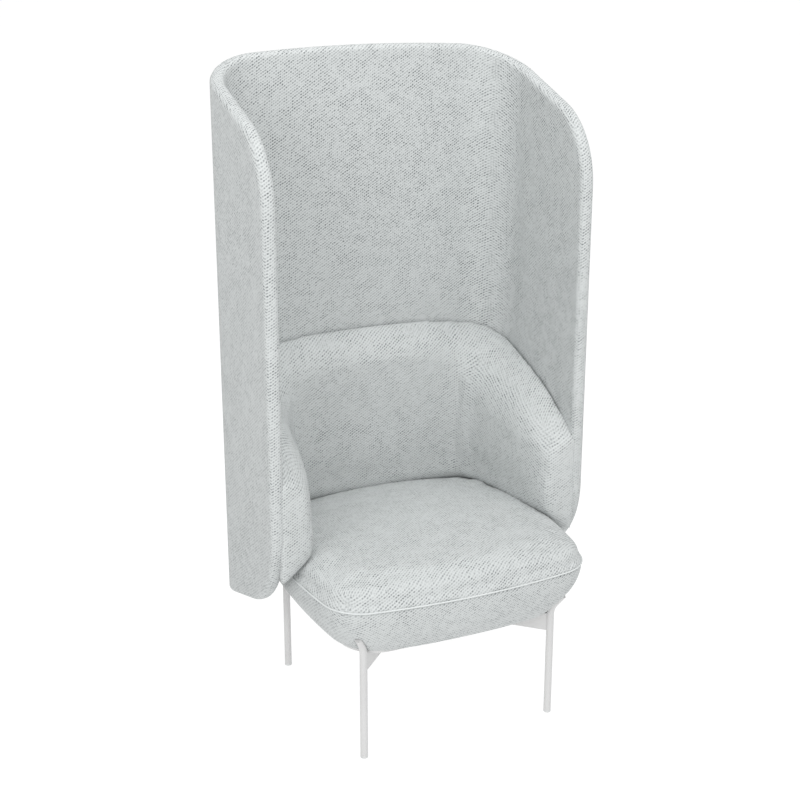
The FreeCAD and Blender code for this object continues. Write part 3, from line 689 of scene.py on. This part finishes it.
@dataclass
class Screen:
    """The tall acoustic screen: a padded panel cut flat, rounded at its rim and bent round the seat."""

    back: float = 0.297
    front: float = -0.099
    half_width: float = 0.366
    thickness: float = 0.030
    corner: float = 0.128
    top: float = 1.409
    arch: float = 3.8
    top_slope: float = math.radians(19.3)
    top_rounding: float = 0.172
    bottom: float = 0.198
    bottom_slope: float = math.radians(17.0)
    bottom_rounding: float = 0.205
    rim: float = 0.0125
    upright_step: float = 0.012
    level_step: float = 0.018
    arc_steps: int = 16
    nodes: tuple[str, ...] = ("screen_outer_cover", "screen_inner_cover")

    @property
    def flat(self) -> float:
        """Half the flat width of the back."""
        return self.half_width - self.corner

    @property
    def bend(self) -> float:
        """The length of one bend, along the middle of the panel."""
        return math.pi / 2 * (self.corner - self.thickness / 2)

    @property
    def reach(self) -> float:
        """Half the panel's length when it lies flat."""
        return self.flat + self.bend + (self.back - self.corner - self.front)

    def bent(self, along: float, depth: float) -> tuple[float, float]:
        """Where a point of the flat panel stands once it is bent.

        Args:
            along: The distance from the middle of the back, along the panel.
            depth: The distance inwards from the outer face.

        Returns:
            The place in x and y.
        """
        distance = abs(along)
        side = math.copysign(1.0, along)
        radius = self.corner - depth
        if distance <= self.flat:
            return along, self.back - depth
        if distance <= self.flat + self.bend:
            turn = (distance - self.flat) / self.bend * math.pi / 2
            x = self.flat + radius * math.sin(turn)
            return side * x, self.back - self.corner + radius * math.cos(turn)
        return side * (self.half_width - depth), self.back - self.corner - (
            distance - self.flat - self.bend
        )

    def height(self, along: float, edge: Edge) -> float:
        """The height of one long edge at a place along the panel.

        Args:
            along: The distance from the middle of the back.
            edge: Which edge.

        Returns:
            The height over the floor.
        """
        x, y = self.bent(along, self.thickness / 2)
        drop = self.arch - math.sqrt(self.arch**2 - x**2)
        up = edge.value
        if edge is Edge.TOP:
            slope, radius, start = self.top_slope, self.top_rounding, self.top - drop
        else:
            slope, radius, start = self.bottom_slope, self.bottom_rounding, self.bottom
        middle_y = self.front + radius
        middle_z = start - up * math.tan(slope) * (self.back - middle_y) - up * radius / math.cos(slope)
        if y > middle_y - radius * math.sin(slope):
            return start - up * math.tan(slope) * (self.back - y)
        share = min((middle_y - y) / radius, 1.0)
        return middle_z + up * radius * math.sqrt(1.0 - share**2)

    def stations(self, edge: Edge) -> list[float]:
        """Places along one half of an edge, closer together round its front corner.

        Args:
            edge: Which edge.

        Returns:
            The distances from the middle of the back, rising.
        """
        slope = self.top_slope if edge is Edge.TOP else self.bottom_slope
        radius = self.top_rounding if edge is Edge.TOP else self.bottom_rounding
        start = self.reach - radius * (1.0 - math.sin(slope))
        straight = np.arange(0.0, start - self.upright_step / 2, self.upright_step)
        turns = np.linspace(slope, math.pi / 2, self.arc_steps)
        arc = self.reach - radius * (1.0 - np.sin(turns))
        return [float(item) for item in (*straight, *arc)]

    def outline(self) -> list[tuple[float, float]]:
        """The panel's outline as it lies flat, all the way round."""
        top = [(along, self.height(along, Edge.TOP)) for along in self.stations(Edge.TOP)]
        low = [(along, self.height(along, Edge.BOTTOM)) for along in self.stations(Edge.BOTTOM)]
        right = low + top[::-1]
        left = [(-along, level) for along, level in right[::-1] if along > 0.0]
        return right + left

    def cut_panel(self) -> bpy.types.Object:
        """Cuts the flat panel, thickens it and rounds its rim."""
        outline = self.outline()
        Bench.deselect()
        bpy.ops.mesh.primitive_circle_add(vertices=len(outline), radius=1.0, fill_type="NGON")
        panel = bpy.context.object
        panel.name = panel.data.name = "screen_upholstery"
        Bench.set_points(panel, np.array([(along, 0.0, level) for along, level in outline]))
        bpy.ops.object.mode_set(mode="EDIT")
        bpy.ops.mesh.select_all(action="SELECT")
        bpy.ops.mesh.extrude_region_move(TRANSFORM_OT_translate={"value": (0.0, -self.thickness, 0.0)})
        bpy.ops.mesh.select_all(action="SELECT")
        bpy.ops.mesh.normals_make_consistent(inside=False)
        self._select_rims(panel)
        bpy.ops.mesh.bevel(offset=self.rim, offset_type="OFFSET", segments=7, profile=0.5)
        bpy.ops.object.mode_set(mode="OBJECT")
        return panel

    def _select_rims(self, panel: bpy.types.Object) -> None:
        """Selects the two outlines of the thickened panel, in edit mode.

        Args:
            panel: The panel.
        """
        bpy.ops.mesh.select_mode(type="EDGE")
        bpy.ops.mesh.select_all(action="DESELECT")
        work = bmesh.from_edit_mesh(panel.data)
        for edge in work.edges:
            first, second = (corner.co.y for corner in edge.verts)
            edge.select = abs(first - second) < self.thickness / 2
        bmesh.update_edit_mesh(panel.data)

    def divide(self, panel: bpy.types.Object) -> None:
        """Cuts the flat panel's faces into a grid, so that it can bend.

        Args:
            panel: The panel.
        """
        Bench.pick(panel)
        bpy.ops.object.mode_set(mode="EDIT")
        uprights = np.arange(-self.reach + self.upright_step, self.reach, self.upright_step)
        low, high = self.height(0.0, Edge.BOTTOM), self.height(0.0, Edge.TOP)
        levels = np.arange(low + self.level_step, high, self.level_step)
        cuts = [((float(at), 0.0, 0.0), (1.0, 0.0, 0.0)) for at in uprights]
        cuts += [((0.0, 0.0, float(at)), (0.0, 0.0, 1.0)) for at in levels]
        for point, normal in cuts:
            bpy.ops.mesh.select_all(action="SELECT")
            bpy.ops.mesh.bisect(plane_co=point, plane_no=normal)
        bpy.ops.object.mode_set(mode="OBJECT")

    def build(self, material: bpy.types.Material) -> None:
        """Makes the screen's upholstery.

        Args:
            material: Its fabric.
        """
        panel = self.cut_panel()
        self.divide(panel)
        places = Bench.points(panel)
        bent = [(*self.bent(along, -depth), level) for along, depth, level in places]
        Bench.set_points(panel, np.array(bent))
        Bench.smooth_shaded(panel)
        Bench.placed(panel, material, "fabric_screen", self.nodes, fill=1.0)


@dataclass
class Tub:
    """The low tub of arms and back, upholstered in one cover over three pads.

    The cover is tucked a little way into the screen's padding and into the seat, so that it meets
    them in a soft crease.
    """

    voxel: float = 0.0075
    screen_face_x: float = 0.336
    screen_face_y: float = 0.267
    inner_corner: float = 0.098
    contact: float = 0.0012
    tuck: float = 0.001
    front_tuck: float = 0.013
    sag: float = 0.016
    underside: float = 0.4365
    front: float = -0.0935
    front_reach: float = 0.0050
    front_round: float = 0.055
    front_face: float = 0.001
    edge_gap: float = 0.004
    edge_ramp: float = 0.018
    crook: float = 0.405
    crook_ramp: float = 0.020
    screen_hold: float = 0.034
    screen_ramp: float = 0.030
    seat_hold: float = 0.500
    seat_ramp: float = 0.065
    slack: float = 0.003
    pressure: float = 2.0
    cap: float = 0.004
    nodes: tuple[str, ...] = ("back_cushion", "arm_cushion_left", "arm_cushion_right")

    def off_screen(self, places: np.ndarray) -> tuple[np.ndarray, np.ndarray]:
        """How far each point stands off the screen's inner face, and which way that face lies.

        Args:
            places: One row for each point.

        Returns:
            The distances in metres, and a row of x and y for each point.
        """
        side = np.sign(places[:, 0])
        beyond = np.stack(
            [
                np.abs(places[:, 0]) - (self.screen_face_x - self.inner_corner),
                places[:, 1] - (self.screen_face_y - self.inner_corner),
            ],
            axis=1,
        )
        in_corner = (beyond > 0).all(axis=1)
        length = np.linalg.norm(beyond, axis=1)
        nearer_side = beyond[:, 0] > beyond[:, 1]
        way = np.where(nearer_side[:, None], (1.0, 0.0), (0.0, 1.0))
        way = np.where(in_corner[:, None], beyond / np.maximum(length, 1e-9)[:, None], way)
        off = self.inner_corner - np.where(in_corner, length, beyond.max(axis=1))
        way[:, 0] *= side
        return off, way

    def tucked_in(self, tub: bpy.types.Object) -> None:
        """Carries the back of the tub into the screen's padding and its underside into the seat.

        Args:
            tub: The merged copy of the pads.
        """
        places = Bench.points(tub)
        off, way = self.off_screen(places)
        forward = np.clip((self.front + self.front_round - places[:, 1]) / self.front_round, 0, 1)
        depth = self.tuck + (self.front_tuck - self.tuck) * forward
        places[:, :2] += way * ((off < self.contact) * depth)[:, None]
        places[:, 2] -= (places[:, 2] < self.underside) * self.sag
        places[:, 1] -= (places[:, 1] < self.front + self.front_face) * self.front_reach
        Bench.set_points(tub, places)

    def round_fronts(self, tub: bpy.types.Object) -> None:
        """Softens the front of each arm, but not where it meets the screen's edge.

        Args:
            tub: The remeshed tub.
        """
        places = Bench.points(tub)
        forward = np.clip((self.front + self.front_round - places[:, 1]) / self.front_round, 0, 1)
        edge = self.screen_face_x - self.edge_gap
        inward = np.clip((edge - np.abs(places[:, 0])) / self.edge_ramp, 0, 1)
        inward = np.maximum(inward, np.clip((self.crook - places[:, 2]) / self.crook_ramp, 0, 1))
        group = tub.vertex_groups.new(name="front")
        for index, weight in enumerate(forward * inward):
            if weight > 0.0:
                group.add([index], float(weight), "REPLACE")
        Bench.applied(tub, "SMOOTH", factor=0.5, iterations=24, vertex_group="front")
        tub.vertex_groups.remove(tub.vertex_groups["front"])

    def build(self, frame: dict[str, Any], material: bpy.types.Material) -> None:
        """Makes the tub's upholstery.

        Args:
            frame: The loaded frame.
            material: Its fabric.
        """
        tub = Bench.merged_copy(frame, self.nodes, "tub_upholstery")
        self.tucked_in(tub)
        Bench.applied(tub, "REMESH", mode="VOXEL", voxel_size=self.voxel)
        Bench.applied(tub, "SMOOTH", factor=0.5, iterations=6)
        self.round_fronts(tub)
        places = Bench.points(tub)
        off, _ = self.off_screen(places)
        by_screen = np.clip((self.screen_hold - off) / self.screen_ramp, 0.0, 1.0)
        by_seat = np.clip((self.seat_hold - places[:, 2]) / self.seat_ramp, 0.0, 1.0)
        held = np.maximum(by_screen, by_seat)
        Bench.set_points(tub, places - Bench.normals(tub) * self.slack * (1.0 - held[:, None]))
        Bench.puffed(tub, held, self.pressure, self.cap)
        Bench.applied(tub, "SMOOTH", factor=0.5, iterations=6)
        Bench.applied(tub, "SUBSURF", levels=1, render_levels=1)
        Bench.smooth_shaded(tub)
        Bench.placed(tub, material, "fabric_seat", self.nodes, fill=0.8)


@dataclass
class Seat:
    """The seat's two covers and the piping sewn between them."""

    half_width: float = 0.309
    front: float = 0.2945
    rear: float = 0.255
    corner: float = 0.088
    bow: float = 1.4
    seam: float = 0.358
    voxel: float = 0.006
    piping_radius: float = 0.0018
    piping_inset: float = 0.0006
    seam_face: float = 0.0005
    hold_ramp: float = 0.008
    hem: float = 0.004
    top_free: tuple[float, float] = (0.368, 9.0)
    lower_free: tuple[float, float] = (0.252, 0.346)
    top_slack: float = 0.003
    top_cap: float = 0.006
    lower_slack: float = 0.0006
    lower_cap: float = 0.0022
    pressure: float = 3.0
    arc_steps: int = 14

    def outline(self) -> list[tuple[float, float]]:
        """The seam's outline: four bowed sides joined by round corners."""
        middle = (self.rear - self.front) / 2
        centres = [
            Vector((0.0, -self.front + self.bow)),
            Vector((self.half_width - self.bow, middle)),
            Vector((0.0, self.rear - self.bow)),
            Vector((self.bow - self.half_width, middle)),
        ]
        outward = [Vector((0, -1)), Vector((1, 0)), Vector((0, 1)), Vector((-1, 0))]
        turns = []
        for side in range(4):
            first, second = centres[side], centres[(side + 1) % 4]
            between = second - first
            away = (outward[side] + outward[(side + 1) % 4]).normalized()
            along = between.normalized()
            square = (away - along * away.dot(along)).normalized()
            rise = math.sqrt((self.bow - self.corner) ** 2 - (between.length / 2) ** 2)
            turns.append((first + between / 2 + square * rise, first, second))
        points: list[tuple[float, float]] = []
        for side in range(4):
            middle_point, first, second = turns[side]
            previous = turns[side - 1][0]
            start = math.atan2(*reversed(previous - first))
            end = math.atan2(*reversed(middle_point - first))
            points += self._arc(first, self.bow, start, end)
            start = math.atan2(*reversed(middle_point - first))
            end = math.atan2(*reversed(middle_point - second))
            points += self._arc(middle_point, self.corner, start, end)
        return points

    def _arc(
        self, centre: Vector, radius: float, start: float, end: float
    ) -> list[tuple[float, float]]:
        """Points along an arc, without its last point.

        Args:
            centre: The arc's centre.
            radius: The arc's radius.
            start: Its first angle.
            end: Its last angle.

        Returns:
            The points.
        """
        sweep = (end - start + math.pi) % (2 * math.pi) - math.pi
        angles = [start + sweep * step / self.arc_steps for step in range(self.arc_steps)]
        return [
            (centre.x + radius * math.cos(angle), centre.y + radius * math.sin(angle))
            for angle in angles
        ]

    def cover(
        self,
        frame: dict[str, Any],
        node: str,
        name: str,
        held_band: tuple[float, float],
        slack: float,
        cap: float,
        hem: float,
    ) -> bpy.types.Object:
        """Makes one cover as a stuffed form that is sewn down outside a band of heights.

        Args:
            frame: The loaded frame.
            node: The CAD node that gives the form.
            name: The piece's name.
            held_band: The heights below and above which the cover is sewn down.
            slack: How much smaller the form starts.
            cap: How far a free point may swell.
            hem: How far the edge at the seam is drawn down.

        Returns:
            The piece.
        """
        piece = Bench.merged_copy(frame, (node,), name)
        corners = Bench.points(piece)
        corners[:, 2] -= (np.abs(corners[:, 2] - self.seam) < self.seam_face) * hem
        Bench.set_points(piece, corners)
        Bench.applied(piece, "REMESH", mode="VOXEL", voxel_size=self.voxel)
        Bench.applied(piece, "SMOOTH", factor=0.5, iterations=4)
        places = Bench.points(piece)
        low, high = held_band
        below = np.clip((low - places[:, 2]) / self.hold_ramp, 0.0, 1.0)
        above = np.clip((places[:, 2] - high) / self.hold_ramp, 0.0, 1.0)
        held = np.maximum(below, above)
        Bench.set_points(piece, places - Bench.normals(piece) * slack * (1.0 - held[:, None]))
        Bench.puffed(piece, held, self.pressure, cap)
        Bench.applied(piece, "SUBSURF", levels=1, render_levels=1)
        Bench.smooth_shaded(piece)
        return piece

    def build(
        self, frame: dict[str, Any], fabric: bpy.types.Material, trim: bpy.types.Material
    ) -> None:
        """Makes the covers and the piping.

        Args:
            frame: The loaded frame.
            fabric: The covers' fabric.
            trim: The piping's fabric.
        """
        top = self.cover(
            frame,
            "seat_top_cover",
            "seat_top_upholstery",
            self.top_free,
            self.top_slack,
            self.top_cap,
            self.hem,
        )
        Bench.placed(top, fabric, "fabric_seat", ("seat_top_cover",), fill=0.8)
        lower = self.cover(
            frame,
            "seat_lower_cover",
            "seat_lower_upholstery",
            self.lower_free,
            self.lower_slack,
            self.lower_cap,
            0.0,
        )
        Bench.placed(lower, fabric, "fabric_seat", ("seat_lower_cover",), fill=0.8)
        self.piping(trim)

    def piping(self, trim: bpy.types.Material) -> None:
        """Makes the cord that runs round the seam.

        Args:
            trim: Its fabric.
        """
        curve = bpy.data.curves.new("seat_piping_cord", "CURVE")
        curve.dimensions = "3D"
        curve.bevel_depth = self.piping_radius
        curve.bevel_resolution = 3
        outline = self.outline()
        spline = curve.splines.new("POLY")
        spline.points.add(len(outline) - 1)
        inward = 1.0 - self.piping_inset / self.half_width
        for point, (x, y) in zip(spline.points, outline):
            point.co = (x * inward, y * inward, self.seam, 1.0)
        spline.use_cyclic_u = True
        rail = bpy.data.objects.new("seat_piping_rail", curve)
        bpy.context.scene.collection.objects.link(rail)
        bpy.context.view_layer.update()
        tube = bpy.data.meshes.new_from_object(rail.evaluated_get(bpy.context.evaluated_depsgraph_get()))
        piece = bpy.data.objects.new("seat_piping_cord", tube)
        bpy.context.scene.collection.objects.link(piece)
        bpy.data.objects.remove(rail)
        Bench.smooth_shaded(piece)
        Bench.placed(piece, trim, "fabric_piping", ("seat_piping",))


@dataclass
class Hardware:
    """The frame's own pieces, which keep their meshes and get their finishes here."""

    coated: tuple[str, ...] = (
        "leg_front_left",
        "leg_front_right",
        "leg_rear_right",
        "leg_rear_left",
        "rail_diagonal_full",
        "rail_half_front",
        "rail_half_rear",
        "seat_plate",
        "bracket_rear_left",
        "bracket_rear_right",
    )
    plated: tuple[str, ...] = ("seat_bolts", "bracket_bolts", "screen_screws")
    moulded: tuple[str, ...] = (
        "glide_front_left",
        "glide_front_right",
        "glide_rear_right",
        "glide_rear_left",
    )
    boards: tuple[str, ...] = ("seat_board", "screen_core", "spacer_left", "spacer_right")
    foam: tuple[str, ...] = ("seat_foam_core",)

    def dress(self, frame: dict[str, Any]) -> None:
        """Gives each node its finish.

        Args:
            frame: The loaded frame.
        """
        finishes = (
            (self.coated, PowderCoat("pale_powder_coat")),
            (self.plated, ZincPlate("zinc_plate")),
            (self.moulded, MouldedPlastic("glide_plastic")),
            (self.boards, SandedBoard("sanded_board")),
            (self.foam, OpenFoam("seating_foam")),
        )
        for nodes, finish in finishes:
            material = finish.make()
            for node in nodes:
                mesh = frame["nodes"][node].data
                mesh.materials.clear()
                mesh.materials.append(material)
            log.info("%s: %d nodes", material.name, len(nodes))


@dataclass(frozen=True)
class SoftPanel:
    """One square light panel that faces the middle of the chair."""

    name: str
    place: tuple[float, float, float]
    width: float
    power: float

    def hang(self) -> None:
        """Hangs the panel in the scene."""
        data = bpy.data.lights.new(self.name, "AREA")
        data.shape = "SQUARE"
        data.size = self.width
        data.energy = self.power
        lamp = bpy.data.objects.new(self.name, data)
        bpy.context.scene.collection.objects.link(lamp)
        lamp.location = self.place
        direction = Vector((0.0, 0.0, 0.7)) - Vector(self.place)
        lamp.rotation_euler = direction.to_track_quat("-Z", "Y").to_euler()


@dataclass
class Studio:
    """A pale floor, soft light and the camera at the photograph's angle."""

    lens: float = 67.55
    eye: tuple[float, float, float] = (-1.3107, -2.7268, 1.7053)
    aim: tuple[float, float, float] = (0.0823, 0.2502, 0.6000)
    floor_half: float = 40.0
    floor_glow: float = 0.89
    sky: float = 0.58
    panels: tuple[SoftPanel, ...] = (
        SoftPanel("left_panel", (-4.2, -2.6, 2.6), 3.0, 78.0),
        SoftPanel("front_panel", (-0.6, -5.0, 2.6), 3.0, 84.0),
        SoftPanel("top_panel", (0.1, -0.6, 4.4), 3.2, 90.0),
    )

    def camera(self) -> None:
        """Sets up the camera."""
        data = bpy.data.cameras.new("photo_camera")
        data.lens = self.lens
        data.sensor_width = 36.0
        data.clip_end = 200.0
        camera = bpy.data.objects.new("photo_camera", data)
        bpy.context.scene.collection.objects.link(camera)
        camera.location = self.eye
        direction = Vector(self.aim) - Vector(self.eye)
        camera.rotation_euler = direction.to_track_quat("-Z", "Y").to_euler()
        bpy.context.scene.camera = camera

    def floor(self) -> None:
        """Lays a wide pale floor with a faint even glow, so that no shadow weighs on it."""
        Bench.deselect()
        bpy.ops.mesh.primitive_plane_add(size=2 * self.floor_half, location=(0.0, 0.0, 0.0))
        floor = bpy.context.object
        floor.name = "studio_floor"
        sheet = NodeSheet("studio_floor_paint")
        drift = sheet.noise(0.6, detail=1.0)
        colour = sheet.blend(drift * 0.2, (0.20, 0.20, 0.20, 1.0), (0.19, 0.19, 0.19, 1.0))
        paint = {
            "Base Color": colour,
            "Roughness": 0.9,
            "Specular IOR Level": 0.0,
            "Emission Color": (1.0, 1.0, 1.0, 1.0),
            "Emission Strength": self.floor_glow,
        }
        floor.data.materials.append(sheet.finish(paint))

    def build(self) -> None:
        """Sets the stage."""
        scene = bpy.context.scene
        scene.view_settings.view_transform = "Standard"
        scene.view_settings.look = "None"
        scene.world = bpy.data.worlds.new("studio_sky")
        scene.world.use_nodes = True
        background = scene.world.node_tree.nodes["Background"]
        background.inputs["Color"].default_value = (1.0, 1.0, 1.0, 1.0)
        background.inputs["Strength"].default_value = self.sky
        for panel in self.panels:
            panel.hang()
        self.camera()
        self.floor()


def main() -> None:
    """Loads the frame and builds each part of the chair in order."""
    logging.basicConfig(level=logging.INFO, format="%(name)s %(message)s")
    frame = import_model()
    Studio().build()
    Hardware().dress(frame)
    screen_wool = WovenWool("screen_wool", contrast=0.98).make()
    seat_wool = WovenWool("seat_wool").make()
    Screen().build(screen_wool)
    Tub().build(frame, seat_wool)
    Seat().build(frame, seat_wool, PipingCord("piping_cover").make())


if __name__ == "__main__":
    main()
